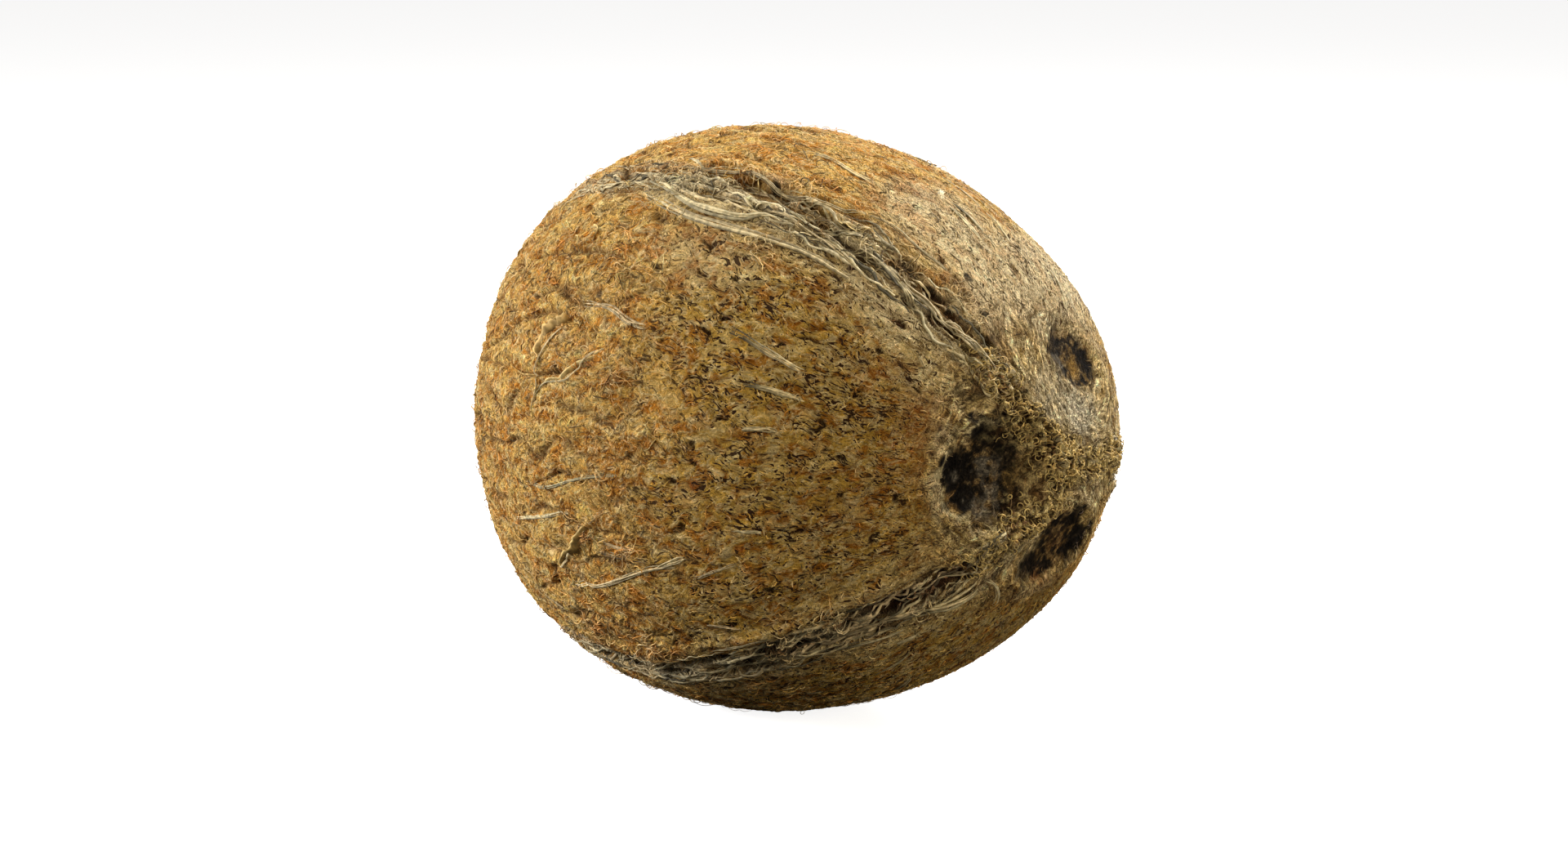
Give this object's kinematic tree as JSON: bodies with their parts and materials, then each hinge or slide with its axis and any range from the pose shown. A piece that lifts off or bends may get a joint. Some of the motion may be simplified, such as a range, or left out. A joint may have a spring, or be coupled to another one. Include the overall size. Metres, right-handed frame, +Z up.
{
  "type": "coconut",
  "caption": "Husked brown coconut lying on its side: an egg-shaped nut matted with coir, with sutures along it and eye hollows at one end.",
  "frame": {"origin": "on the table, below the middle of the nut's box, in the plane of the small flat that it rests on", "axes": "+X along the nut towards the eye end, +Z up, -Y towards the front"},
  "size_m": [0.1284, 0.1094, 0.1066],
  "materials": {
    "coir": "rough, matted plant fibre with no shine"
  },
  "bodies": {
    "root": {"coconut": "coir"}
  },
  "joints": []
}
